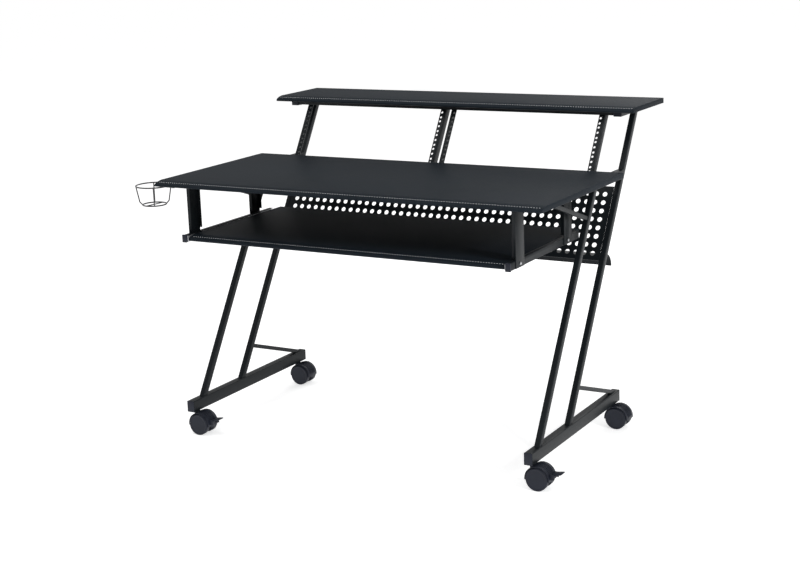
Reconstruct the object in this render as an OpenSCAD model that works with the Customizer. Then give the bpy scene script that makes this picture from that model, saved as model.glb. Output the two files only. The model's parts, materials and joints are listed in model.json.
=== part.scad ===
// Computer desk with keyboard tray: a leaning two-leg steel side frame on each side carries
// a desktop, a raised rear shelf with rack rails between them, a perforated rear panel,
// a sliding keyboard tray, a wire cup holder and four twin-wheel casters.
// Origin on the floor, midway between the desk's ends. +X right, -Y front, +Z up.

/* [Desktop] */
// length of the desktop from end to end
desk_width = 1200; // [1150:10:1500]
// depth of the desktop from front to back
desk_depth = 530; // [440:1:650]
// height of the desktop's top face above the floor
desk_top_z = 748; // [620:1:900]
// thickness of each of the three boards
board_t = 15; // [12:0.5:25]
// depth of the rolled-over front edge of a board
nose_depth = 27; // [15:1:40]
// level gap from the desktop's back edge to the feet of the rack rails
desk_behind = 22.1; // [10:0.1:60]

/* [Shelf] */
// amount the shelf is shorter than the desktop at each end
shelf_short = 5; // [0:1:40]
// depth of the raised shelf
shelf_depth = 234; // [180:2:300]
// height of the shelf's top face above the desktop's
shelf_rise = 166; // [130:1:220]
// distance from the rear legs' back faces to the shelf's back edge
shelf_overhang = 77; // [60:1:120]
// distance from the shelf's front edge to the shelf arms
shelf_arm_in = 22; // [5:1:60]
// distance from the shelf arms' rear ends to the shelf's back edge
shelf_arm_back = 20; // [5:1:40]

/* [Side frames] */
// distance from the desktop's ends in to the base tubes' outer faces
side_in = 49; // [25:1:50]
// length of a base tube
base_length = 586; // [450:2:700]
// width of the base, desk and shelf arm tubes
arm_w = 24; // [18:1:40]
// height of the base tube
base_h = 33; // [25:1:50]
// height of the desk arm
arm_h = 24; // [21:1:45]
// height of the shelf arm
shelf_arm_h = 14; // [12:1:20]
// wall of the square tubes
tube_wall = 1.5; // [1.2:0.1:3]
// front ends of the base tubes, forward of the origin
base_front = 403; // [300:1:480]
// lean of the legs away from upright
lean = 32; // [20:1:38]
// width of a leg tube across the desk
leg_w = 16; // [14:1:30]
// depth of a leg tube square to its lean
leg_d = 18; // [14:1:30]
// distance from a base tube's front end to the front leg
leg_foot = 51; // [30:1:90]
// level distance between the front faces of the two legs
leg_gap = 192; // [120:1:260]
// side of the square brace tubes
brace_t = 12; // [8:1:20]
// slope of the two braces
brace_slope = 19; // [10:1:30]
// distance from a brace's outer end to the end of the tube it meets
brace_in = 8; // [2:0.5:30]
// length of the desk arm ahead of the front leg
arm_reach = 268; // [150:1:320]

/* [Rack rails] */
// distance between the two hole columns of one rack bay
rack_holes = 465.1; // [465.1:0.1:465.1]
// distance from the desk's middle to the nearest hole column
rack_mid = 20.5; // [14:0.5:60]
// width of a rail's front flange
rail_flange = 17; // [15.9:0.1:25]
// depth of a rail's side web
rail_web = 25; // [15:1:40]
// sheet thickness of the rails
rail_t = 2; // [1.5:0.1:3]
// diameter of the rack holes
rack_hole_d = 7; // [6:0.1:8]
// level distance the rails stand ahead of the rear legs
rail_ahead = 104; // [40:1:120]
// number of rack units between desktop and shelf
rack_units = 3; // [2:1:4]

/* [Perforated panel] */
// sheet thickness of the panel and of the cable lip
panel_t = 1.5; // [1:0.1:3]
// length of the panel along its slope
panel_slope = 222; // [120:1:240]
// distance from the desktop's underside down to the panel's lower edge
panel_drop = 233; // [225:1:260]
// pitch of the round holes
hole_pitch = 25.4; // [20:0.1:40]
// diameter of the round holes
hole_d = 14; // [5:0.5:18]
// least distance from a leg's inner face to the middle of a hole
hole_side = 20; // [15:1:80]
// distance from the panel's top edge to the middle of the first hole row
hole_top = 24.5; // [16:0.5:40]
// least distance from the last hole row's middle to the panel's lower edge
hole_low = 12; // [10:1:40]
// radius of the curved part of the cable lip
lip_r = 42; // [25:1:70]
// length of the flat part of the cable lip
lip_flat = 46; // [10:1:70]

/* [Keyboard tray] */
// gap between a leg's inner face and the hanger posts beside it
hanger_side = 19; // [8:1:40]
// depth of a hanger post from front to back
hanger_d = 50; // [30:1:80]
// width of a hanger post's flanges
hanger_flange = 10; // [8:1:20]
// sheet thickness of the hanger posts
hanger_t = 2; // [1.5:0.1:3]
// distance from the desktop's front to the front hanger posts
hanger_front = 29; // [10:1:80]
// distance between the front faces of front and rear posts
hanger_gap = 296; // [200:1:320]
// distance from the desktop's underside down to the tray rails' underside
tray_drop = 153; // [110:1:180]
// height of a tray rail
rail_h = 20; // [16:1:30]
// width of a tray rail
rail_w = 13; // [10:1:20]
// length of a tray rail
rail_len = 424; // [380:1:450]
// depth of the tray board
tray_depth = 460; // [300:2:500]
// running gap between a runner and its rail
run_gap = 0.5; // [0.3:0.1:1]

/* [Cup holder] */
// outside diameter of the top ring
cup_d = 104; // [80:1:120]
// outside diameter of the bottom ring
cup_base_d = 71; // [50:1:90]
// outside diameter of the basket at the uprights' lower bends
cup_waist_d = 87; // [60:1:110]
// depth of the wire basket
cup_h = 57; // [40:1:90]
// wire diameter
wire_d = 4; // [3:0.5:6]
// distance from the desktop's end out to the cup holder's middle
cup_out = 36; // [30:1:52]
// distance from the desktop's front back to the cup holder's middle
cup_back = 40; // [30:1:200]

/* [Casters] */
// wheel diameter
wheel_d = 62; // [50:0.1:76]
// width of one wheel
wheel_w = 16; // [12:1:20]
// width over the two wheels of a caster
wheel_over = 53; // [44:1:60]
// distance from the stem's axis to the wheel axle
trail = 20; // [10:1:25]
// distance from a base tube's end to the nearest stem
stem_in = 28; // [20:1:60]
// diameter of the stem
stem_d = 11; // [8:0.5:12]
// diameter of the wheel axle
axle_d = 8; // [6:0.5:10]
// running gap around stems, axles and brake pins, on the radius
pin_gap = 0.08; // [0.02:0.01:0.1]
// gap from the wheels' tops to the base tubes' underside
base_gap = 6.5; // [6:0.5:20]

/* [Hidden] */
e = 0.01;
half = desk_width / 2 - side_in - arm_w / 2;    // middle of each side frame
tl = tan(lean);
sl = 1 / cos(lean);
base_y = -base_front;                     // front ends of the base tubes
base_z = wheel_d + base_gap;
base_top = base_z + base_h;
desk_bot = desk_top_z - board_t;
shelf_bot = desk_top_z + shelf_rise - board_t;
arm_bot = desk_bot - arm_h;
shelf_arm_bot = shelf_bot - shelf_arm_h;
front_y0 = base_y + leg_foot - base_top * tl;   // front leg's front face, drawn down to the floor
rear_y0 = front_y0 + leg_gap;                   // rear leg's front face, drawn down to the floor
shelf_y = rear_y0 + leg_d * sl + shelf_arm_bot * tl + shelf_overhang - shelf_depth;
arm_y = front_y0 + arm_bot * tl - arm_reach;    // front ends of the desk arms
shelf_arm_y = shelf_y + shelf_arm_in;
shelf_arm_len = shelf_depth - shelf_arm_in - shelf_arm_back;
rail_y0 = rear_y0 - rail_ahead;
hole_edge = 6;                                  // rack hole to the flange's free edge
fold = rail_flange - hole_edge;                 // rack hole to the fold
bar_h = 20;
bar_d = 36;
bar_top = arm_bot + bar_h;                      // the bar's underside is level with the arms'
bar_lead = 4;                                   // bar ahead of the rails' feet
bar_y = rail_y0 + bar_top * tl - bar_lead;
desk_y = bar_y + bar_lead - desk_behind - desk_depth;    // desktop's front edge
inner = half - arm_w / 2;                       // inner faces of the arms
leg_in = half - leg_w / 2;                      // inner faces of the legs
angle_t = 2;
angle_d = 62;
angle_h = 11;
hanger_x = leg_in - hanger_side;                // outer faces of the hanger posts
rail_out = hanger_x - hanger_t;                 // tray rail's outer face
tray_gap = 3;                                   // tray board to the rail beside it
tray_w = 2 * (rail_out - rail_w - tray_gap);
tray_z = desk_bot - tray_drop;
panel_z = desk_bot - panel_drop;
hole_cols = 1 + floor((2 * leg_in - 2 * hole_side) / hole_pitch);
hole_rows = 1 + floor((panel_slope - hole_top - hole_low) / hole_pitch);
tray_front = desk_y + 3;
hanger_y1 = desk_y + hanger_front + 2;
hanger_y2 = hanger_y1 + hanger_gap;
cup_x = -desk_width / 2 - cup_out;
cup_y = desk_y + cup_back;
cup_z = desk_bot - 3 - wire_d / 2;              // the plate rises 3 above the top ring
wr = wheel_d / 2;
hood_in = wr + 1.3;
hood_out = hood_in + 2.5;
web_y = wheel_over / 2 - wheel_w - 1;           // half width of a caster's middle web
stem_y1 = base_y + stem_in;
stem_y2 = base_y + base_length - stem_in;
lever_x = trail + hood_out + 4.5;               // brake lever's pivot
lever_z = wr + 12;
lever_pin = 4;
lever_len = 25.4;                               // brake lever's tip ahead of its pivot
middle_x = (half + lever_x + lever_len + cup_x - cup_d / 2) / 2; // middle of the overall width
screw_d = 4;                                    // shank of the hanger screws and board screws
screw_deep = 10;                                // depth of the board screws in their board
plate_w = 38;                                   // foot plate of a hanger post
arm_screw_y = [arm_y + 80, desk_y + desk_depth - 30];
shelf_screw_y = [shelf_arm_y + 30, shelf_arm_y + shelf_arm_len - 25];
cup_plate_t = 4;
cup_plate = 48;                                 // side of the cup holder's plate
cap_t = 5;                                      // front cap of a tray runner
lip_up = 7;                                     // lip above the panel's lower edge
black = [0.13, 0.14, 0.15];
board = [0.19, 0.2, 0.22];
nylon = [0.2, 0.21, 0.25];
zinc = [0.75, 0.76, 0.78];

// moves a piece so that the origin is on the floor under the middle of the overall width
module placed() translate([-middle_x, 0, 0]) children();

// a straight tube of a given wall along Y
module tube_y(w, h, len) {
  difference() {
    translate([-w / 2, 0, 0]) cube([w, len, h]);
    translate([-w / 2 + tube_wall, -1, tube_wall])
      cube([w - 2 * tube_wall, len + 2, h - 2 * tube_wall]);
  }
}

// side view profile of a solid that leans back, cut level at both ends
module lean_profile(y0, z0, z1, d) {
  polygon([[y0 + z0 * tl, z0], [y0 + z0 * tl + d, z0],
    [y0 + z1 * tl + d, z1], [y0 + z1 * tl, z1]]);
}

// draws a side view profile (Y, Z) as a solid of width w centred on x
module side(x, w) {
  translate([x - w / 2, 0, 0]) rotate([90, 0, 90]) linear_extrude(w) children();
}

module leg(x, y0, z0, z1) color(black) {
  difference() {
    side(x, leg_w) lean_profile(y0, z0, z1, leg_d * sl);
    side(x, leg_w - 2 * tube_wall)
      lean_profile(y0 + tube_wall * sl, z0 - 5, z1 + 5, (leg_d - 2 * tube_wall) * sl);
  }
}

module base_tube(x) color(black) {
  difference() {
    translate([x, base_y, base_z]) tube_y(arm_w, base_h, base_length);
    for (y = [stem_y1, stem_y2])
      translate([x, y, base_z - 1]) cylinder(h = 8, d = stem_d, $fn = 48);
  }
}

// push-in plug with a thin flange, mouth of the tube at y = 0, flange towards -Y
module end_cap(w, h) {
  translate([-w / 2, -1.5, 0]) cube([w, 1.5, h]);
  translate([-w / 2 + tube_wall, -e, tube_wall])
    cube([w - 2 * tube_wall, 12, h - 2 * tube_wall]);
}

module base_end_caps() placed() color(nylon) {
  for (s = [-1, 1]) {
    translate([s * half, base_y, base_z]) end_cap(arm_w, base_h);
    translate([s * half, base_y + base_length, base_z]) mirror([0, 1, 0]) end_cap(arm_w, base_h);
  }
}

// brace between a leg and an arm: line through (y, z) falling to the rear
module brace_profile(y, z, y0, y1) {
  t = tan(brace_slope);
  v = brace_t / cos(brace_slope);
  polygon([[y0, z - (y0 - y) * t], [y1, z - (y1 - y) * t],
    [y1, z - (y1 - y) * t - v], [y0, z - (y0 - y) * t - v]]);
}

// the base brace runs from the rear leg's back face down to the base tube's rear end
leg_back0 = rear_y0 + leg_d * sl;
brace_end_y = base_y + base_length - brace_in;
base_brace_z = (base_top + (brace_end_y - leg_back0) * tan(brace_slope)) / (1 + tl * tan(brace_slope));
base_brace_y = leg_back0 + base_brace_z * tl;

module base_brace(x) color(black) {
  v = brace_t / cos(brace_slope);
  end_y = brace_end_y;
  difference() {
    side(x, brace_t) intersection() {
      brace_profile(base_brace_y, base_brace_z, base_brace_y - 30, end_y + 40);
      polygon([[rear_y0 + leg_d * sl + base_top * tl, base_top],
        [end_y + 60, base_top], [end_y + 60, base_brace_z + 60],
        [rear_y0 + leg_d * sl + (base_brace_z + 60) * tl, base_brace_z + 60]]);
    }
    side(x, brace_t - 2 * tube_wall) translate([0, -tube_wall / cos(brace_slope)])
      polygon([[base_brace_y - 60, base_brace_z + 60 * tan(brace_slope)],
        [end_y + 60, base_top - 60 * tan(brace_slope)],
        [end_y + 60, base_top - 60 * tan(brace_slope) - v + 2 * tube_wall],
        [base_brace_y - 60, base_brace_z + 60 * tan(brace_slope) - v + 2 * tube_wall]]);
  }
}

// the desk brace runs from the front leg's front face up to the desk arm's front end
brace_start_y = arm_y + brace_in;
desk_brace_z = (arm_bot - (front_y0 - brace_start_y) * tan(brace_slope)) / (1 + tl * tan(brace_slope));
desk_brace_y = front_y0 + desk_brace_z * tl;

module desk_brace(x) color(black) {
  v = brace_t / cos(brace_slope);
  start_y = brace_start_y;
  difference() {
    side(x, brace_t) intersection() {
      brace_profile(desk_brace_y, desk_brace_z + v, start_y - 60, desk_brace_y + 40);
      polygon([[front_y0 + arm_bot * tl, arm_bot], [start_y - 80, arm_bot],
        [start_y - 80, desk_brace_z - 60], [front_y0 + (desk_brace_z - 60) * tl, desk_brace_z - 60]]);
    }
    side(x, brace_t - 2 * tube_wall) translate([0, tube_wall / cos(brace_slope)])
      polygon([[desk_brace_y + 60, desk_brace_z - 60 * tan(brace_slope)],
        [start_y - 60, arm_bot + 60 * tan(brace_slope)],
        [start_y - 60, arm_bot + 60 * tan(brace_slope) + v - 2 * tube_wall],
        [desk_brace_y + 60, desk_brace_z - 60 * tan(brace_slope) + v - 2 * tube_wall]]);
  }
}

module desk_arm(x) color(black) {
  difference() {
    translate([x, arm_y, arm_bot]) tube_y(arm_w, arm_h, 900);
    side(x, arm_w + 2) polygon([[rear_y0 + (arm_bot - 5) * tl, arm_bot - 5],
      [rear_y0 + (desk_bot + 5) * tl, desk_bot + 5], [arm_y + 950, desk_bot + 5],
      [arm_y + 950, arm_bot - 5]]);
    for (y = arm_screw_y) translate([x, y, arm_bot - 1]) cylinder(h = arm_h + 2, d = screw_d, $fn = 24);
  }
}

module desk_arm_caps() placed() color(nylon)
  for (s = [-1, 1]) translate([s * half, arm_y, arm_bot]) end_cap(arm_w, arm_h);

module shelf_arm(x) color(black) difference() {
  translate([x, shelf_arm_y, shelf_arm_bot]) tube_y(arm_w, shelf_arm_h, shelf_arm_len);
  for (y = shelf_screw_y) translate([x, y, shelf_arm_bot - 1])
    cylinder(h = shelf_arm_h + 2, d = screw_d, $fn = 24);
}

module shelf_arm_caps() placed() color(nylon)
  for (s = [-1, 1]) {
    translate([s * half, shelf_arm_y, shelf_arm_bot]) end_cap(arm_w, shelf_arm_h);
    translate([s * half, shelf_arm_y + shelf_arm_len, shelf_arm_bot])
      mirror([0, 1, 0]) end_cap(arm_w, shelf_arm_h);
  }

// thin steel angle under the shelf's front, between the two shelf arms
module shelf_angle() placed() color(black) {
  y = shelf_arm_y;
  translate([-inner, y, shelf_bot - angle_t]) cube([2 * inner, angle_d, angle_t]);
  translate([-inner, y, shelf_bot - angle_h]) cube([2 * inner, angle_t, angle_h]);
}

// s is +1 for a flange that runs towards +X from its fold at x
module rack_rail(x, s) color(black) {
  top = shelf_bot - angle_t;
  len = (top - bar_top) * sl;
  z0 = bar_top;
  difference() {
    translate([x, rail_y0 + z0 * tl, z0]) rotate([-lean, 0, 0]) difference() {
      union() {
        translate([s > 0 ? 0 : -rail_flange, 0, -40]) cube([rail_flange, rail_t, len + 40]);
        translate([s > 0 ? 0 : -rail_t, 0, -40]) cube([rail_t, rail_web, len + 40]);
      }
      for (u = [0 : rack_units + 1], k = [0, 15.875, 31.75])
        if (len - 6 - u * 44.45 - k > 4)
          translate([s * fold, -1, len - 6 - u * 44.45 - k]) rotate([-90, 0, 0])
            cylinder(h = rail_t + 2, d = rack_hole_d, $fn = 32);
    }
    translate([x - 40, rail_y0, z0 - 80]) cube([80, 1200, 80]);
  }
}

// level bar behind the desktop that the rails stand on
module rack_cross_bar() placed() color(black)
  difference() {
    translate([-inner, bar_y, bar_top - bar_h]) cube([2 * inner, bar_d, bar_h]);
    translate([-inner - 1, bar_y + tube_wall, bar_top - bar_h + tube_wall])
      cube([2 * inner + 2, bar_d - 2 * tube_wall, bar_h - 2 * tube_wall]);
  }

// sheet between the rear legs with a square grid of round holes
module perforated_panel() placed() color(black) {
  px = (hole_cols - 1) * hole_pitch / 2;
  translate([0, rear_y0 + panel_z * tl, panel_z]) rotate([90 - lean, 0, 0])
    mirror([0, 0, 1]) linear_extrude(panel_t) difference() {
      translate([-leg_in, 0]) square([2 * leg_in, panel_slope]);
      for (i = [0 : hole_cols - 1], j = [0 : hole_rows - 1])
        translate([-px + i * hole_pitch, panel_slope - hole_top - j * hole_pitch])
          circle(d = hole_d, $fn = 20);
    }
}

// rear lip of the panel that holds cables: level strip that curves down at the back
module cable_lip() placed() color(black) {
  z1 = panel_z + lip_up;
  y1 = rear_y0 + z1 * tl + panel_t * sl;          // rear face of the panel at the lip
  yc = y1 + lip_flat;
  side(0, 2 * leg_in - 2) polygon(concat([[y1, z1]],
    [for (a = [90 : -5 : 0]) [yc + lip_r * cos(a), z1 - lip_r + lip_r * sin(a)]],
    [for (a = [0 : 5 : 90]) [yc + (lip_r - panel_t) * cos(a), z1 - lip_r + (lip_r - panel_t) * sin(a)]],
    [[y1 - panel_t * tl, z1 - panel_t]]));
}

// side view of a board whose front edge rolls over, front edge at y = 0
module nosed_board(w, d) {
  side(0, w) polygon([[0, 3], [0.6, 1], [2.5, 0], [d, 0], [d, board_t], [nose_depth + 6, board_t],
    [nose_depth, board_t - 0.3], [nose_depth * 0.75, board_t - 1.4],
    [nose_depth * 0.5, board_t - 3.3], [nose_depth * 0.3, board_t - 5.4],
    [nose_depth * 0.13, board_t - 7.8], [0.6, board_t - 10.2], [0, 4.2]]);
}

// middles of the screws that rise into the desktop through the hanger plates and the cup plate
plate_screws = [for (s = [-1, 1], y = [hanger_y1, hanger_y2], k = [0.25, 0.75])
  [s * (hanger_x - plate_w + 10), y + hanger_d * k]];
cup_screws = [for (k = [-14, 14]) [cup_x + cup_d / 2 - wire_d / 2 + 32, cup_y + k]];
arm_screws = [for (s = [-1, 1], y = arm_screw_y) [s * half, y]];
shelf_screws = [for (s = [-1, 1], y = shelf_screw_y) [s * half, y]];

// blind holes drilled up into a board's underside
module pilots(spots, z)
  for (q = spots) translate([q[0], q[1], z - 1]) cylinder(h = screw_deep + 1, d = screw_d, $fn = 24);

module desktop() placed() color(board) difference() {
  translate([0, desk_y, desk_bot]) nosed_board(desk_width, desk_depth);
  pilots(concat(plate_screws, cup_screws, arm_screws), desk_bot);
}

module shelf() placed() color(board) difference() {
  translate([0, shelf_y, shelf_bot]) nosed_board(desk_width - 2 * shelf_short, shelf_depth);
  pilots(shelf_screws, shelf_bot);
}

// pan-head screws driven up through a plate or tube of thickness t into the board at z
module up_screws(spots, z, t)
  for (q = spots) translate([q[0], q[1], z - t]) {
    cylinder(h = t + screw_deep, d = screw_d, $fn = 24);
    translate([0, 0, -2.4]) cylinder(h = 2.4, d = 8, $fn = 32);
  }

module board_screws() placed() color(zinc) {
  up_screws(plate_screws, desk_bot, hanger_t);
  up_screws(cup_screws, desk_bot, cup_plate_t);
  up_screws(arm_screws, desk_bot, arm_h);
  up_screws(shelf_screws, shelf_bot, shelf_arm_h);
}

module tray_board() placed() color(board)
  translate([0, tray_front, tray_z + 3]) nosed_board(tray_w, tray_depth);

// channel post open towards the middle, with a foot plate under the desktop
module hanger(s, y) color(black) {
  x = s * hanger_x;
  in = tray_z + rail_h + 8;
  difference() {
    union() {
      translate([s > 0 ? x - hanger_t : x, y, tray_z]) cube([hanger_t, hanger_d, desk_bot - tray_z]);
      for (k = [0, hanger_d - hanger_t])
        translate([s > 0 ? x - hanger_flange : x, y + k, in])
          cube([hanger_flange, hanger_t, desk_bot - in]);
      translate([s > 0 ? x - plate_w : x, y, desk_bot - hanger_t])
        cube([plate_w, hanger_d, hanger_t]);
    }
    for (k = [0.25, 0.75])
      translate([x - s * (plate_w - 10), y + hanger_d * k, desk_bot - 5])
        cylinder(h = 8, d = screw_d, $fn = 24);
    translate([x - s * 8, y + hanger_d / 2, tray_z + rail_h / 2]) rotate([0, s * 90, 0])
      cylinder(h = 20, d = screw_d, $fn = 24);
  }
}

// channel rail open towards the middle
module tray_rail(s) color(black) {
  x = s * (rail_out - rail_w / 2);
  difference() {
    translate([x - rail_w / 2, tray_front + run_gap, tray_z]) cube([rail_w, rail_len, rail_h]);
    translate([x - rail_w / 2 - s * tube_wall, tray_front - 1, tray_z + tube_wall])
      cube([rail_w, rail_len + 2, rail_h - 2 * tube_wall]);
    for (y = [hanger_y1, hanger_y2])
      translate([s * (rail_out - 5), y + hanger_d / 2, tray_z + rail_h / 2]) rotate([0, s * 90, 0])
        cylinder(h = 20, d = screw_d, $fn = 24);
  }
}

// caps on the runners' front ends; they travel with the tray and close the rails at rest
module tray_front_caps() placed() color(nylon)
  for (s = [-1, 1])
    translate([s > 0 ? rail_out - rail_w : -rail_out - 2, tray_front - cap_t, tray_z - 1])
      cube([rail_w + 2, cap_t, rail_h + 2]);

module tray_runner(s) color(zinc) {
  a = tray_w / 2;
  b = rail_out - tube_wall - run_gap;
  translate([s > 0 ? a : -b, tray_front, tray_z + tube_wall + run_gap])
    cube([b - a, rail_len - 8, rail_h - 2 * tube_wall - 2 * run_gap]);
}

// pan-head screws that hold each rail to its hanger posts
module hanger_screws() placed() color(zinc)
  for (s = [-1, 1], y = [hanger_y1, hanger_y2])
    translate([s * hanger_x, y + hanger_d / 2, tray_z + rail_h / 2])
      rotate([0, s * 90, 0]) {
        cylinder(h = 1.6, d = 8, $fn = 32);
        translate([0, 0, 1.6 - e]) cylinder(h = 1.2, d1 = 8, d2 = 5, $fn = 32);
        translate([0, 0, -hanger_t - tube_wall])
          cylinder(h = hanger_t + tube_wall + e, d = screw_d, $fn = 24);
      }

module ring(r, z, wire) {
  translate([0, 0, z]) rotate_extrude($fn = 96) translate([r, 0]) circle(d = wire, $fn = 20);
}

// wire basket with a plate that screws under the desktop
module cup_holder() placed() color(black) {
  r1 = cup_d / 2 - wire_d / 2;
  rm = cup_waist_d / 2 - wire_d / 2;
  r2 = cup_base_d / 2 - wire_d / 2;
  b = 9;                                        // height of the lower bends above the base ring
  zb = -cup_h + wire_d / 2;
  wd = wire_d - 0.7;
  translate([cup_x, cup_y, cup_z]) {
    ring(r1, 0, wire_d);
    ring(r2, zb, wire_d);
    for (a = [0 : 3]) rotate([0, 0, 38 + 90 * a]) {
      translate([rm, 0, zb + b]) rotate([0, atan2(r1 - rm, -zb - b), 0])
        cylinder(h = norm([r1 - rm, -zb - b]), d = wd, $fn = 20);
      translate([rm, 0, zb + b]) sphere(d = wd + 0.4, $fn = 20);
      translate([rm, 0, zb + b]) rotate([0, -atan2(rm - r2, -b), 0])
        cylinder(h = norm([rm - r2, b]), d = wd, $fn = 20);
    }
    rotate([0, 0, 83]) translate([-r2, 0, zb]) rotate([0, 90, 0])
      cylinder(h = 2 * r2, d = wd - 0.3, $fn = 20);
    difference() {
      translate([r1 - 5, -cup_plate / 2, wire_d / 2 - 1]) cube([cup_plate, cup_plate, cup_plate_t]);
      for (k = [-14, 14]) translate([r1 + 32, k, -4]) cylinder(h = 12, d = screw_d, $fn = 24);
      translate([r1 - 12, -30, wire_d / 2 - 2]) cube([5, 60, 6]);
    }
  }
}

module caster_stems() placed() color(zinc)
  for (s = [-1, 1], y = [stem_y1, stem_y2]) translate([s * half, y, 0]) {
    translate([0, 0, wr + 6]) cylinder(h = base_z - wr + 20, d = stem_d, $fn = 48);
    translate([0, 0, base_z - 1.6]) cylinder(h = 1.6, d = stem_d + 5, $fn = 48);
  }

// caster drawn with its stem at the origin, wheels trailing towards +X
module caster_body(x, y, brake) color(nylon) translate([x, y, 0]) {
  boss_top = base_z - 1.9;
  difference() {
    union() {
      translate([trail, web_y, wr]) rotate([90, 0, 0]) linear_extrude(2 * web_y) intersection() {
        circle(r = hood_out - 0.4, $fn = 96);
        translate([-60, -9]) square([120, 100]);
      }
      translate([trail, wheel_over / 2 - 3, wr]) rotate([90, 0, 0])
        linear_extrude(wheel_over - 6) difference() {
          circle(r = hood_out, $fn = 96);
          circle(r = hood_in, $fn = 96);
          translate([-60, -100]) square([120, 100 - 4]);
          rotate(52) translate([-100, -60]) square([72, 150]);
        }
      cylinder(h = boss_top, d = 17, $fn = 48);
      if (brake) translate([trail + hood_in + 0.6, -15.5, wr + 2]) cube([12.5, 31, 14]);
    }
    translate([0, 0, wr + 4]) cylinder(h = 60, d = stem_d + 2 * pin_gap, $fn = 48);
    translate([-20, -20, -1]) cube([40, 40, wr - 7]);
    translate([trail, 40, wr]) rotate([90, 0, 0]) cylinder(h = 80, d = axle_d, $fn = 48);
    if (brake) {
      translate([lever_x - 5, -12.5, 0]) cube([40, 25, 100]);
      translate([lever_x, 20, lever_z]) rotate([90, 0, 0])
        cylinder(h = 40, d = lever_pin + 2 * pin_gap, $fn = 32);
    }
  }
}

module axle(x, y) color(zinc)
  translate([x + trail, y + wheel_over / 2 - 4, wr]) rotate([90, 0, 0])
    cylinder(h = wheel_over - 8, d = axle_d, $fn = 48);

// s is -1 for the wheel on the front side of the caster
module wheel(x, y, s) color(nylon)
  translate([x + trail, y + s * (wheel_over / 2), wr]) rotate([s * 90, 0, 0]) {
    difference() {
      union() {
        cylinder(h = 1.5, r1 = wr - 1.5, r2 = wr, $fn = 96);
        translate([0, 0, 1.5 - e]) cylinder(h = wheel_w - 1.5, r = wr, $fn = 96);
      }
      translate([0, 0, 3]) difference() {
        cylinder(h = wheel_w, r = wr - 6, $fn = 96);
        cylinder(h = wheel_w, r = axle_d, $fn = 48);
      }
      translate([0, 0, 3]) cylinder(h = wheel_w, d = axle_d + 2 * pin_gap, $fn = 48);
    }
  }

// pedal with its own pivot pin
module brake_lever(x, y) color(nylon) translate([x, y, 0]) {
  translate([lever_x, 12, 0]) rotate([90, 0, 0]) linear_extrude(24)
    polygon([[-2.6, lever_z - 3], [-2.6, lever_z + 3.2], [3, lever_z + 5.2],
      [lever_len - 0.9, lever_z + 8.5], [lever_len, lever_z + 7.2], [lever_len - 0.8, lever_z + 5.6],
      [8, lever_z + 0.5], [3, lever_z - 3]]);
  translate([lever_x, 15.5, lever_z]) rotate([90, 0, 0]) cylinder(h = 31, d = lever_pin, $fn = 32);
}

// one module for each piece
module base_tube_left() placed() base_tube(-half);
module base_tube_right() placed() base_tube(half);
module front_leg_left() placed() leg(-half, front_y0, base_top, arm_bot);
module front_leg_right() placed() leg(half, front_y0, base_top, arm_bot);
module rear_leg_left() placed() leg(-half, rear_y0, base_top, shelf_arm_bot);
module rear_leg_right() placed() leg(half, rear_y0, base_top, shelf_arm_bot);
module base_brace_left() placed() base_brace(-half);
module base_brace_right() placed() base_brace(half);
module desk_arm_left() placed() desk_arm(-half);
module desk_arm_right() placed() desk_arm(half);
module desk_brace_left() placed() desk_brace(-half);
module desk_brace_right() placed() desk_brace(half);
module shelf_arm_left() placed() shelf_arm(-half);
module shelf_arm_right() placed() shelf_arm(half);
module rack_rail_left() placed() rack_rail(-rack_mid - rack_holes - fold, 1);
module rack_rail_mid_left() placed() rack_rail(-rack_mid + fold, -1);
module rack_rail_mid_right() placed() rack_rail(rack_mid - fold, 1);
module rack_rail_right() placed() rack_rail(rack_mid + rack_holes + fold, -1);
module hanger_front_left() placed() hanger(-1, hanger_y1);
module hanger_front_right() placed() hanger(1, hanger_y1);
module hanger_rear_left() placed() hanger(-1, hanger_y2);
module hanger_rear_right() placed() hanger(1, hanger_y2);
module tray_rail_left() placed() tray_rail(-1);
module tray_rail_right() placed() tray_rail(1);
module tray_runner_left() placed() tray_runner(-1);
module tray_runner_right() placed() tray_runner(1);
module caster_body_front_left() placed() caster_body(-half, stem_y1, true);
module caster_body_front_right() placed() caster_body(half, stem_y1, true);
module caster_body_rear_left() placed() caster_body(-half, stem_y2, false);
module caster_body_rear_right() placed() caster_body(half, stem_y2, false);
module axle_front_left() placed() axle(-half, stem_y1);
module axle_front_right() placed() axle(half, stem_y1);
module axle_rear_left() placed() axle(-half, stem_y2);
module axle_rear_right() placed() axle(half, stem_y2);
module wheel_front_left_a() placed() wheel(-half, stem_y1, -1);
module wheel_front_left_b() placed() wheel(-half, stem_y1, 1);
module wheel_front_right_a() placed() wheel(half, stem_y1, -1);
module wheel_front_right_b() placed() wheel(half, stem_y1, 1);
module wheel_rear_left_a() placed() wheel(-half, stem_y2, -1);
module wheel_rear_left_b() placed() wheel(-half, stem_y2, 1);
module wheel_rear_right_a() placed() wheel(half, stem_y2, -1);
module wheel_rear_right_b() placed() wheel(half, stem_y2, 1);
module brake_lever_left() placed() brake_lever(-half, stem_y1);
module brake_lever_right() placed() brake_lever(half, stem_y1);

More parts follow.
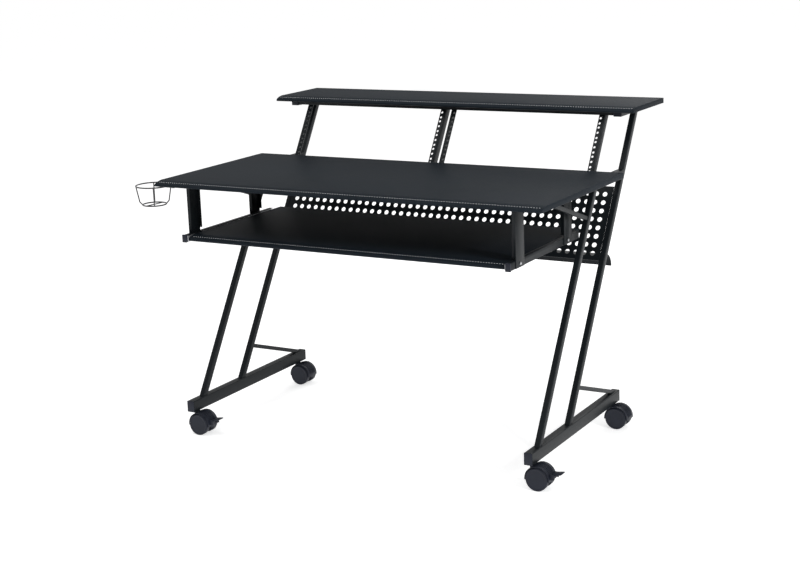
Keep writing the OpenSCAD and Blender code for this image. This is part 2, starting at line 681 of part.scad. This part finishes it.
base_tube_left();
base_tube_right();
base_end_caps();
front_leg_left();
front_leg_right();
rear_leg_left();
rear_leg_right();
base_brace_left();
base_brace_right();
desk_arm_left();
desk_arm_right();
desk_arm_caps();
desk_brace_left();
desk_brace_right();
shelf_arm_left();
shelf_arm_right();
shelf_arm_caps();
shelf_angle();
perforated_panel();
cable_lip();
rack_rail_left();
rack_rail_mid_left();
rack_rail_mid_right();
rack_rail_right();
rack_cross_bar();
desktop();
shelf();
tray_board();
hanger_front_left();
hanger_front_right();
hanger_rear_left();
hanger_rear_right();
tray_rail_left();
tray_rail_right();
tray_front_caps();
tray_runner_left();
tray_runner_right();
hanger_screws();
board_screws();
cup_holder();
caster_stems();
caster_body_front_left();
caster_body_front_right();
caster_body_rear_left();
caster_body_rear_right();
axle_front_left();
axle_front_right();
axle_rear_left();
axle_rear_right();
wheel_front_left_a();
wheel_front_left_b();
wheel_front_right_a();
wheel_front_right_b();
wheel_rear_left_a();
wheel_rear_left_b();
wheel_rear_right_a();
wheel_rear_right_b();
brake_lever_left();
brake_lever_right();
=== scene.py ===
import json
import math
import bpy
import bmesh
from mathutils import Matrix, Vector


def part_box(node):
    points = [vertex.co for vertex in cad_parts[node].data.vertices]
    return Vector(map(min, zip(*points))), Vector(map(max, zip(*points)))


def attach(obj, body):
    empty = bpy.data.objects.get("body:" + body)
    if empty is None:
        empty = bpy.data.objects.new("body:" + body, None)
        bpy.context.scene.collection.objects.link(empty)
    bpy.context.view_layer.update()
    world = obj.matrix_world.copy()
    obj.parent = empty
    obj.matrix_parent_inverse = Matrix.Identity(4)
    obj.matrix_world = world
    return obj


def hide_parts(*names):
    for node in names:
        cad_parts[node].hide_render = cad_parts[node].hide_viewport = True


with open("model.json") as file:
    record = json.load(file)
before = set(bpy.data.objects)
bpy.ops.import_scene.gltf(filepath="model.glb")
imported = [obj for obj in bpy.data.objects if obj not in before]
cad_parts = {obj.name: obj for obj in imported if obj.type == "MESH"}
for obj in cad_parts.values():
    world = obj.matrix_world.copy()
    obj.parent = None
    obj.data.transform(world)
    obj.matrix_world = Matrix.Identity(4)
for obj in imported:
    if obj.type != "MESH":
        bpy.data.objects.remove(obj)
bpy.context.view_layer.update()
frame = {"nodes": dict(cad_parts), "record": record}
nodes = frame["nodes"]
bodyOf = {n: b for b, members in frame["record"]["behaviour"]["bodies"].items() for n in members}
mm = 0.001


class Val:
    # a socket that can be used in sums
    def __init__(self, sh, socket):
        self.sh, self.socket = sh, socket

    def op(self, kind, a, b=None):
        return self.sh.node("ShaderNodeMath", {"operation": kind}, {0: a} if b is None else {0: a, 1: b})

    def __add__(self, o):
        return self.op("ADD", self, o)

    def __sub__(self, o):
        return self.op("SUBTRACT", self, o)

    def __rsub__(self, o):
        return self.op("SUBTRACT", o, self)

    def __mul__(self, o):
        return self.op("MULTIPLY", self, o)

    __radd__ = __add__
    __rmul__ = __mul__

    def sin(self):
        return self.op("SINE", self)

    def absolute(self):
        return self.op("ABSOLUTE", self)

    def over(self, o):
        return self.op("GREATER_THAN", self, o)


class Shader:
    def __init__(self, name, **fixed):
        self.mat = bpy.data.materials.new(name)
        self.mat.use_nodes = True
        self.tree = self.mat.node_tree
        self.bsdf = self.tree.nodes["Principled BSDF"]
        for key, value in fixed.items():
            self.bsdf.inputs[key.replace("_", " ")].default_value = value
        self.place = self.node("ShaderNodeTexCoord", {}, {}, "Object")

    def node(self, kind, settings, inputs, out=0):
        n = self.tree.nodes.new(kind)
        for key, value in settings.items():
            if key == "stops":
                for element, (position, colour) in zip(n.color_ramp.elements, value):
                    element.position, element.color = position, (*colour, 1)
            else:
                setattr(n, key, value)
        for key, value in inputs.items():
            if isinstance(value, Val):
                self.tree.links.new(value.socket, n.inputs[key])
            else:
                n.inputs[key].default_value = value
        return Val(self, n.outputs[out])

    def noise(self, scale, detail=2.0):
        return self.node("ShaderNodeTexNoise", {}, {"Vector": self.place, "Scale": scale, "Detail": detail})

    def axes(self):
        return [self.node("ShaderNodeSeparateXYZ", {}, {0: self.place}, i) for i in range(3)]

    def colour(self, low, high, factor):
        ramp = self.node("ShaderNodeValToRGB", {"stops": [(0.3, low), (0.7, high)]}, {"Fac": factor})
        self.tree.links.new(ramp.socket, self.bsdf.inputs["Base Color"])

    def rough(self, value):
        self.tree.links.new(value.socket, self.bsdf.inputs["Roughness"])

    def bump(self, height, depth, strength=1.0):
        b = self.node("ShaderNodeBump", {}, {"Height": height, "Distance": depth, "Strength": strength})
        self.tree.links.new(b.socket, self.bsdf.inputs["Normal"])
        return self.mat


coat = {"dark": (0.0062, 0.008, 0.0098), "light": (0.0112, 0.0142, 0.0165),
        "grain": 1100.0, "depth": 0.00009}


def powderCoat():
    # fine orange peel with slightly uneven gloss
    sh = Shader("powder_coat", Specular_IOR_Level=0.14)
    cloud, grain = sh.noise(7, 3), sh.noise(coat["grain"], 3)
    sh.colour(coat["dark"], coat["light"], cloud * 0.6 + grain * 0.4)
    sh.rough(0.28 + cloud * 0.1 + grain * 0.08)
    return sh.bump(grain * 0.8 + sh.noise(300, 2) * 0.5, coat["depth"], 0.7)


film = {"dark": (0.0062, 0.0092, 0.0128), "light": (0.0175, 0.0236, 0.0308),
        "cell": 3 * mm, "ribsPerCell": 4, "depth": 0.00012}


def boardFilm():
    # woven emboss: little squares whose ribs run by turns along X and along Y
    sh = Shader("board_film", Specular_IOR_Level=0.05)
    x, y, z = sh.axes()
    u, v = x * (math.pi / film["cell"]), (y + z * 0.7) * (math.pi / film["cell"])
    cell = (u.sin() * v.sin()).over(0.0)
    ribs = cell * (u * film["ribsPerCell"]).sin().absolute()
    ribs = ribs + (1 - cell) * (v * film["ribsPerCell"]).sin().absolute()
    dome = (u.sin() * v.sin()).absolute()
    cloud, grain = sh.noise(4, 3), sh.noise(900, 2)
    sh.colour(film["dark"], film["light"], cloud * 0.36 + cell * 0.28 + dome * 0.26 + grain * 0.1)
    sh.rough(0.5 + cloud * 0.08 + dome * 0.06)
    return sh.bump(ribs * 0.35 + dome * 0.65, film["depth"], 0.8)


yarn = {"dark": (0.46, 0.48, 0.5), "light": (0.82, 0.83, 0.84), "twist": (9000, 3000, 6000), "depth": 0.00012}


def thread():
    # twisted sewing thread
    sh = Shader("stitch_thread", Sheen_Weight=0.25)
    x, y, z = sh.axes()
    twist = (x * yarn["twist"][0] + z * yarn["twist"][2] + y * yarn["twist"][1]).sin()
    sh.colour(yarn["dark"], yarn["light"], twist * 0.25 + sh.noise(400) * 0.5 + 0.2)
    sh.rough(0.62 + twist * 0.08)
    return sh.bump(twist, yarn["depth"], 0.8)


moulding = {"dark": (0.0085, 0.0105, 0.018), "light": (0.016, 0.0195, 0.031), "depth": 0.00006}


def nylon():
    # moulded nylon with a spark-eroded skin
    sh = Shader("black_nylon", Specular_IOR_Level=0.25)
    cloud, grain = sh.noise(30, 3), sh.noise(1500, 2)
    sh.colour(moulding["dark"], moulding["light"], cloud * 0.6 + grain * 0.4)
    sh.rough(0.36 + cloud * 0.12 + grain * 0.08)
    return sh.bump(grain, moulding["depth"], 0.7)


plating = {"dark": (0.42, 0.43, 0.45), "light": (0.72, 0.73, 0.75), "depth": 0.00004}


def zinc():
    # bright zinc with the cloudy patches that plating leaves
    sh = Shader("zinc_plate", Metallic=1.0)
    cloud, grain = sh.noise(160, 4), sh.noise(1800, 2)
    sh.colour(plating["dark"], plating["light"], cloud)
    sh.rough(0.24 + cloud * 0.18)
    return sh.bump(grain, plating["depth"], 0.6)


paint = {"dark": (0.01, 0.011, 0.012), "light": (0.019, 0.02, 0.022), "depth": 0.00006}


def dippedWire():
    # thick glossy paint on round wire
    sh = Shader("dipped_wire", Coat_Weight=0.2)
    cloud, grain = sh.noise(60, 3), sh.noise(700, 2)
    sh.colour(paint["dark"], paint["light"], cloud)
    sh.rough(0.28 + cloud * 0.12)
    return sh.bump(grain, paint["depth"], 0.6)


finishes = {"coat": powderCoat(), "film": boardFilm(), "thread": thread(), "nylon": nylon(),
            "zinc": zinc(), "wire": dippedWire()}
print("finishes made")


def keep(name, bm, finish, body, replaced=(), crease=32):
    # turns a bmesh into a piece that rides on its body
    mesh = bpy.data.meshes.new(name)
    bm.to_mesh(mesh)
    bm.free()
    mesh.shade_smooth()
    mesh.set_sharp_from_angle(angle=math.radians(crease))
    mesh.materials.append(finishes[finish])
    piece = bpy.data.objects.new(name, mesh)
    bpy.context.scene.collection.objects.link(piece)
    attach(piece, body)
    if replaced:
        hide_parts(*replaced)
    return piece


weld = {"gap": 2e-6, "flat": 0.6}       # metres, and degrees under which faces count as one


def merged(node):
    # the CAD piece with its loose triangles joined up
    bm = bmesh.new()
    bm.from_mesh(nodes[node].data)
    bmesh.ops.remove_doubles(bm, verts=bm.verts, dist=weld["gap"])
    bmesh.ops.dissolve_limit(bm, angle_limit=math.radians(weld["flat"]), verts=bm.verts, edges=bm.edges)
    return bm


def softened(node, finish, radius, longest=0.0, steps=3, sharp=40):
    # the CAD shape with its outer edges rounded; only edges over a length where it is a tube
    bm = merged(node)
    edges = [e for e in bm.edges if e.is_manifold and e.is_convex and e.calc_length() > longest
             and e.calc_face_angle(0) > math.radians(sharp)]
    bmesh.ops.bevel(bm, geom=edges, offset=radius, segments=steps, affect="EDGES", profile=0.5,
                    material=-1, clamp_overlap=longest == 0)
    return keep(node + "_shown", bm, finish, bodyOf[node], [node])


tubes = {"radius": 2.2 * mm, "longest": 60 * mm,
         "nodes": ["base_tube_left", "base_tube_right", "front_leg_left", "front_leg_right",
                   "rear_leg_left", "rear_leg_right", "base_brace_left", "base_brace_right",
                   "desk_arm_left", "desk_arm_right", "desk_brace_left", "desk_brace_right",
                   "shelf_arm_left", "shelf_arm_right", "rack_cross_bar"]}
folded = {"radius": 0.5 * mm, "longest": 9 * mm,
          "nodes": ["rack_rail_left", "rack_rail_mid_left", "rack_rail_mid_right", "rack_rail_right",
                    "shelf_angle", "hanger_front_left", "hanger_front_right", "hanger_rear_left",
                    "hanger_rear_right", "tray_rail_left", "tray_rail_right"]}
plugs = {"radius": 0.8 * mm,
         "nodes": ["base_end_caps", "desk_arm_caps", "shelf_arm_caps", "tray_front_caps"]}

for node in tubes["nodes"]:
    softened(node, "coat", tubes["radius"], tubes["longest"])
for node in folded["nodes"]:
    softened(node, "coat", folded["radius"], folded["longest"], 2)
for node in plugs["nodes"]:
    softened(node, "nylon", plugs["radius"], 0.0, 2)
keep("cable_lip_shown", merged("cable_lip"), "coat", bodyOf["cable_lip"], ["cable_lip"])
keep("panel_shown", merged("perforated_panel"), "coat", bodyOf["perforated_panel"], ["perforated_panel"])
print("frame made")


nose = {"depth": 33 * mm, "low": 4.2 * mm, "power": 1.6, "steps": 18, "bunch": 1.7, "edge": 0.7 * mm,
        "rim": 50, "under": 2.5 * mm, "corner": (0.6 * mm, 1 * mm), "front": 3 * mm}
seam = {"back": 11.6 * mm, "pitch": 7.6 * mm, "long": 4.0 * mm, "thick": 1.8 * mm, "margin": 5 * mm}


def noseHeight(y, thick):
    # height of the rolled-over edge above the board's underside, y back from its front
    away = max(0.0, 1 - y / nose["depth"])
    return nose["low"] + (thick - nose["low"]) * (1 - away ** nose["power"]) ** (1 / nose["power"])


def board(node):
    low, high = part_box(node)
    thick = high.z - low.z
    outline = [(high.y, low.z), (low.y + nose["under"], low.z),
               (low.y + nose["corner"][0], low.z + nose["corner"][1]), (low.y, low.z + nose["front"])]
    for i in range(nose["steps"] + 1):
        back = nose["depth"] * (i / nose["steps"]) ** nose["bunch"]
        outline.append((low.y + back, low.z + noseHeight(back, thick)))
    outline.append((high.y, high.z))
    bm = bmesh.new()
    face = bm.faces.new([bm.verts.new((low.x, y, z)) for y, z in outline])
    side = bmesh.ops.extrude_face_region(bm, geom=[face])
    bmesh.ops.translate(bm, vec=(high.x - low.x, 0, 0),
                        verts=[v for v in side["geom"] if isinstance(v, bmesh.types.BMVert)])
    bmesh.ops.recalc_face_normals(bm, faces=bm.faces)
    rims = [e for e in bm.edges if e.calc_face_angle(0) > math.radians(nose["rim"])]
    bmesh.ops.bevel(bm, geom=rims, offset=nose["edge"], segments=2, affect="EDGES", profile=0.5,
                    material=-1, clamp_overlap=True)
    keep(node + "_shown", bm, "film", bodyOf[node], [node])


def stitches(node):
    # a row of short threads along the rolled-over edge
    low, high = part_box(node)
    thick = high.z - low.z
    rise = noseHeight(seam["back"] + mm, thick) - noseHeight(seam["back"] - mm, thick)
    tilt = Matrix.Rotation(math.atan2(rise, 2 * mm), 4, "X")
    count = int((high.x - low.x - 2 * seam["margin"]) / seam["pitch"])
    start = (low.x + high.x) / 2 - (count - 1) * seam["pitch"] / 2
    bm = bmesh.new()
    for i in range(count):
        spot = Vector((start + i * seam["pitch"], low.y + seam["back"],
                       low.z + noseHeight(seam["back"], thick)))
        size = Matrix.Diagonal((seam["long"] / 2, seam["thick"] / 2, seam["thick"] / 2, 1))
        bmesh.ops.create_uvsphere(bm, u_segments=8, v_segments=5, radius=1,
                                  matrix=Matrix.Translation(spot) @ tilt @ size)
    keep(node + "_stitches", bm, "thread", bodyOf[node])


for node in ("desktop", "shelf", "tray_board"):
    board(node)
    stitches(node)
print("boards made")


wheel = {"turns": 72, "round": 2.6 * mm, "rim": 2.6 * mm, "dish": 0.9 * mm,
         "lipIn": 1.2 * mm, "lipLow": 0.2 * mm, "lipFlat": 0.6 * mm,
         "wall": 6 * mm, "draft": 0.6 * mm, "hollow": 5 * mm,
         "boss": 9 * mm, "bossEnd": 8 * mm, "bore": 4.1 * mm, "seat": 3 * mm}
hood = {"ribs": 5, "spread": 23 * mm, "thick": 1.3 * mm, "high": 1.3 * mm, "crown": 34.9 * mm,
        "root": 1 * mm, "shoulder": 0.7 * mm, "from": 8, "to": 118, "steps": 36}
moulded = {"edge": 0.5 * mm}


def spun(bm, profile, centre, axis, start=0, turn=360, steps=72):
    # profile is (distance from the axis, place along it); the sweep starts towards +X
    along = Vector(axis)
    out = Matrix.Rotation(math.radians(start), 3, along) @ Vector((1, 0, 0))
    verts = [bm.verts.new(centre + out * r + along * t) for r, t in profile]
    edges = [bm.edges.new(pair) for pair in zip(verts, verts[1:])]
    bmesh.ops.spin(bm, geom=verts + edges, cent=centre, axis=along, dvec=(0, 0, 0),
                   angle=math.radians(turn), steps=steps, use_merge=turn == 360)


def rounded(r, t0, t1, corner, steps=4):
    # tread from t0 to t1 with round shoulders
    points = []
    for i in range(steps + 1):
        a = math.pi / 2 * i / steps
        points.append((r - corner + corner * math.sin(a), t0 + corner - corner * math.cos(a)))
    for i in range(steps + 1):
        a = math.pi / 2 * i / steps
        points.append((r - corner + corner * math.cos(a), t1 - corner + corner * math.sin(a)))
    return points


def rollingWheel(node):
    low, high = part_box(node)
    centre, r, half = (low + high) / 2, (high.z - low.z) / 2, (high.y - low.y) / 2
    outside = 1 if node.endswith("_b") else -1      # the disc faces away from the stem
    lip = r - wheel["round"] - wheel["rim"]
    profile = [(0, -half + wheel["dish"]), (lip - wheel["lipIn"], -half + wheel["dish"]),
               (lip, -half + wheel["lipLow"]), (lip + wheel["lipFlat"], -half)]
    profile += rounded(r, -half, half, wheel["round"])
    floor, seat = half - wheel["hollow"], wheel["seat"] - half
    profile += [(r - wheel["wall"], half), (r - wheel["wall"] - wheel["draft"], floor),
                (wheel["boss"], floor), (wheel["bossEnd"], half),
                (wheel["bore"], half), (wheel["bore"], seat), (0, seat)]
    bm = bmesh.new()
    spun(bm, [(a, -outside * b) for a, b in profile], centre, (0, 1, 0), 0, 360, wheel["turns"])
    bmesh.ops.remove_doubles(bm, verts=bm.verts, dist=1e-6)
    bmesh.ops.recalc_face_normals(bm, faces=bm.faces)
    keep(node + "_shown", bm, "nylon", bodyOf[node], [node], 28)


def hoodRibs(body, axle, name):
    # raised ribs over the crown of the hood between the wheels
    low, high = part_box(axle)
    centre = (low + high) / 2
    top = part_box(body)[1].z - centre.z
    crown = min(top, hood["crown"])
    bm = bmesh.new()
    for i in range(hood["ribs"]):
        t = hood["spread"] * (i / (hood["ribs"] - 1) - 0.5)
        w = hood["thick"]
        base, peak = crown - hood["root"], crown + hood["high"]
        side = peak - hood["shoulder"]
        ring = [(base, t - w), (side, t - w * 0.8), (peak, t - w * 0.4), (peak, t + w * 0.4),
                (side, t + w * 0.8), (base, t + w), (base, t - w)]
        spun(bm, ring, centre, (0, 1, 0), -hood["from"], -(hood["to"] - hood["from"]), hood["steps"])
    bmesh.ops.remove_doubles(bm, verts=bm.verts, dist=1e-6)
    bmesh.ops.holes_fill(bm, edges=[e for e in bm.edges if e.is_boundary], sides=12)
    bmesh.ops.recalc_face_normals(bm, faces=bm.faces)
    keep(name, bm, "nylon", bodyOf[body])


for end in ("front", "rear"):
    for hand in ("left", "right"):
        place = end + "_" + hand
        for letter in "ab":
            rollingWheel("wheel_" + place + "_" + letter)
        softened("caster_body_" + place, "nylon", moulded["edge"], 0.0, 2)
        hoodRibs("caster_body_" + place, "axle_" + place, "hood_ribs_" + place)
        keep("axle_" + place + "_shown", merged("axle_" + place), "zinc", bodyOf["axle_" + place],
             ["axle_" + place])
for hand in ("left", "right"):
    softened("brake_lever_" + hand, "nylon", moulded["edge"], 0.0, 2)
print("casters made")


cup = {"wire": 4.0 * mm, "base": 71 * mm, "waist": 0.83, "bend": 9 * mm, "turn": 38, "cross": 83,
       "uprightPart": 0.85, "crossPart": 0.8, "below": 3 * mm,      # the ring lies below the plate's top
       "plate": 4 * mm, "plateLong": 48 * mm, "plateEdge": 1 * mm, "overlap": 2 * mm}


def wire(bm, points, radius, sides=12):
    # a round wire along a few points, with small balls at its bends
    for a, b in zip(points, points[1:]):
        run = b - a
        bmesh.ops.create_cone(bm, cap_ends=True, segments=sides, radius1=radius, radius2=radius,
                              depth=run.length, matrix=Matrix.Translation((a + b) / 2)
                              @ run.to_track_quat("Z", "Y").to_matrix().to_4x4())
    for p in points[1:-1]:
        bmesh.ops.create_uvsphere(bm, u_segments=sides, v_segments=8, radius=radius,
                                  matrix=Matrix.Translation(p))


def wireRing(bm, centre, radius, thick, sides=12):
    circle = [(radius + thick * math.cos(a), thick * math.sin(a))
              for a in [2 * math.pi * i / sides for i in range(sides + 1)]]
    spun(bm, circle, centre, (0, 0, 1), 0, 360, 72)


def cupHolder():
    # wire basket on a plate under the desktop's left end
    low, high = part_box("cup_holder")
    span = high.y - low.y
    top = high.z - cup["below"] - cup["wire"] / 2
    r, thick = span / 2 - cup["wire"] / 2, cup["wire"] / 2
    centre = Vector((low.x + span / 2, (low.y + high.y) / 2, top))
    baseR, drop = cup["base"] / 2 - thick, high.z - cup["below"] - thick - low.z - thick
    bm = bmesh.new()
    wireRing(bm, centre, r, thick)
    wireRing(bm, centre - Vector((0, 0, drop)), baseR, thick)
    for i in range(4):
        a = math.radians(cup["turn"] + 90 * i)
        out = Vector((math.cos(a), math.sin(a), 0))
        wire(bm, [centre + out * r, centre + out * r * cup["waist"] - Vector((0, 0, drop - cup["bend"])),
                  centre + out * baseR - Vector((0, 0, drop))], thick * cup["uprightPart"])
    a = math.radians(cup["cross"])
    across = Vector((math.cos(a), math.sin(a), 0)) * baseR
    wire(bm, [centre - across - Vector((0, 0, drop)), centre + across - Vector((0, 0, drop))],
         thick * cup["crossPart"])
    plateLeft, plateRight = centre.x + r - cup["overlap"], high.x
    middle = Vector(((plateLeft + plateRight) / 2, centre.y, high.z - cup["plate"] / 2))
    size = Matrix.Diagonal((plateRight - plateLeft, cup["plateLong"], cup["plate"], 1))
    made = bmesh.ops.create_cube(bm, size=1, matrix=Matrix.Translation(middle) @ size)
    rims = list({e for v in made["verts"] for e in v.link_edges})
    bmesh.ops.bevel(bm, geom=rims, offset=cup["plateEdge"], segments=2, affect="EDGES", profile=0.5,
                    material=-1, clamp_overlap=True)
    bmesh.ops.remove_doubles(bm, verts=bm.verts, dist=1e-6)
    keep("cup_holder_shown", bm, "wire", bodyOf["cup_holder"], ["cup_holder"], 40)


cupHolder()
print("cup holder made")


for node in ("hanger_screws", "board_screws", "caster_stems"):
    keep(node + "_shown", merged(node), "zinc", bodyOf[node], [node])
runner = {"edge": 0.6 * mm}
for node in ("tray_runner_left", "tray_runner_right"):
    softened(node, "zinc", runner["edge"], 0.0, 2)
print("hardware made")


studio = {"room": 0.5, "backdrop": 1.0, "floorGlow": 0.6, "floorReach": 30, "aim": (0, 0, 0.5)}


def stageSet():
    # pale floor and a bright even room
    bm = bmesh.new()
    bmesh.ops.create_grid(bm, x_segments=1, y_segments=1, size=studio["floorReach"])
    mesh = bpy.data.meshes.new("floor")
    bm.to_mesh(mesh)
    bm.free()
    pale = Shader("floor_white", Base_Color=(0.8, 0.8, 0.8, 1), Roughness=0.95, Specular_IOR_Level=0.0,
                  Emission_Color=(1, 1, 1, 1), Emission_Strength=studio["floorGlow"])
    mesh.materials.append(pale.mat)
    floor = bpy.data.objects.new("floor", mesh)
    bpy.context.scene.collection.objects.link(floor)
    world = bpy.data.worlds.new("studio")
    world.use_nodes = True
    tree = world.node_tree
    back = tree.nodes["Background"]
    back.inputs["Color"].default_value = (1, 1, 1, 1)
    # the backdrop is seen white, while it lights the desk more dimly
    rays, mix = tree.nodes.new("ShaderNodeLightPath"), tree.nodes.new("ShaderNodeMix")
    mix.inputs["A"].default_value, mix.inputs["B"].default_value = studio["room"], studio["backdrop"]
    tree.links.new(rays.outputs["Is Camera Ray"], mix.inputs["Factor"])
    tree.links.new(mix.outputs["Result"], back.inputs["Strength"])
    bpy.context.scene.world = world
    bpy.context.scene.view_settings.view_transform = "Standard"


lamps = {"key": ((-0.9, -1.0, 4.4), 3.0, 60), "side": ((3.2, -1.2, 2.0), 0.4, 42),
         "back": ((0.4, 3.2, 2.8), 2.4, 40)}


def lights():
    # soft lamps, all turned to the middle of the desk
    for name, (place, size, power) in lamps.items():
        data = bpy.data.lights.new(name, "AREA")
        data.size, data.energy = size, power
        lamp = bpy.data.objects.new(name, data)
        lamp.location = place
        lamp.rotation_euler = (Vector(studio["aim"]) - Vector(place)).to_track_quat("-Z", "Y").to_euler()
        bpy.context.scene.collection.objects.link(lamp)


eye = {"place": (2.2162, -3.8188, 1.4742), "azimuth": 30.345, "elevation": 11.837, "roll": -2.163,
       "lens": 70.09, "rise": -0.06, "far": 60}


def camera():
    az, el = math.radians(eye["azimuth"]), math.radians(eye["elevation"])
    ahead = Vector((-math.sin(az) * math.cos(el), math.cos(az) * math.cos(el), -math.sin(el)))
    right = Vector((math.cos(az), math.sin(az), 0))
    up = right.cross(ahead)
    roll = math.radians(eye["roll"])
    across = right * math.cos(roll) + up * math.sin(roll)
    over = up * math.cos(roll) - right * math.sin(roll)
    data = bpy.data.cameras.new("photo_angle")
    data.lens, data.shift_y, data.clip_end = eye["lens"], eye["rise"], eye["far"]
    cam = bpy.data.objects.new("photo_angle", data)
    turned = Matrix((across, over, -ahead)).transposed().to_4x4()
    cam.matrix_world = Matrix.Translation(eye["place"]) @ turned
    bpy.context.scene.collection.objects.link(cam)
    bpy.context.scene.camera = cam


stageSet()
lights()
camera()
print("stage set")
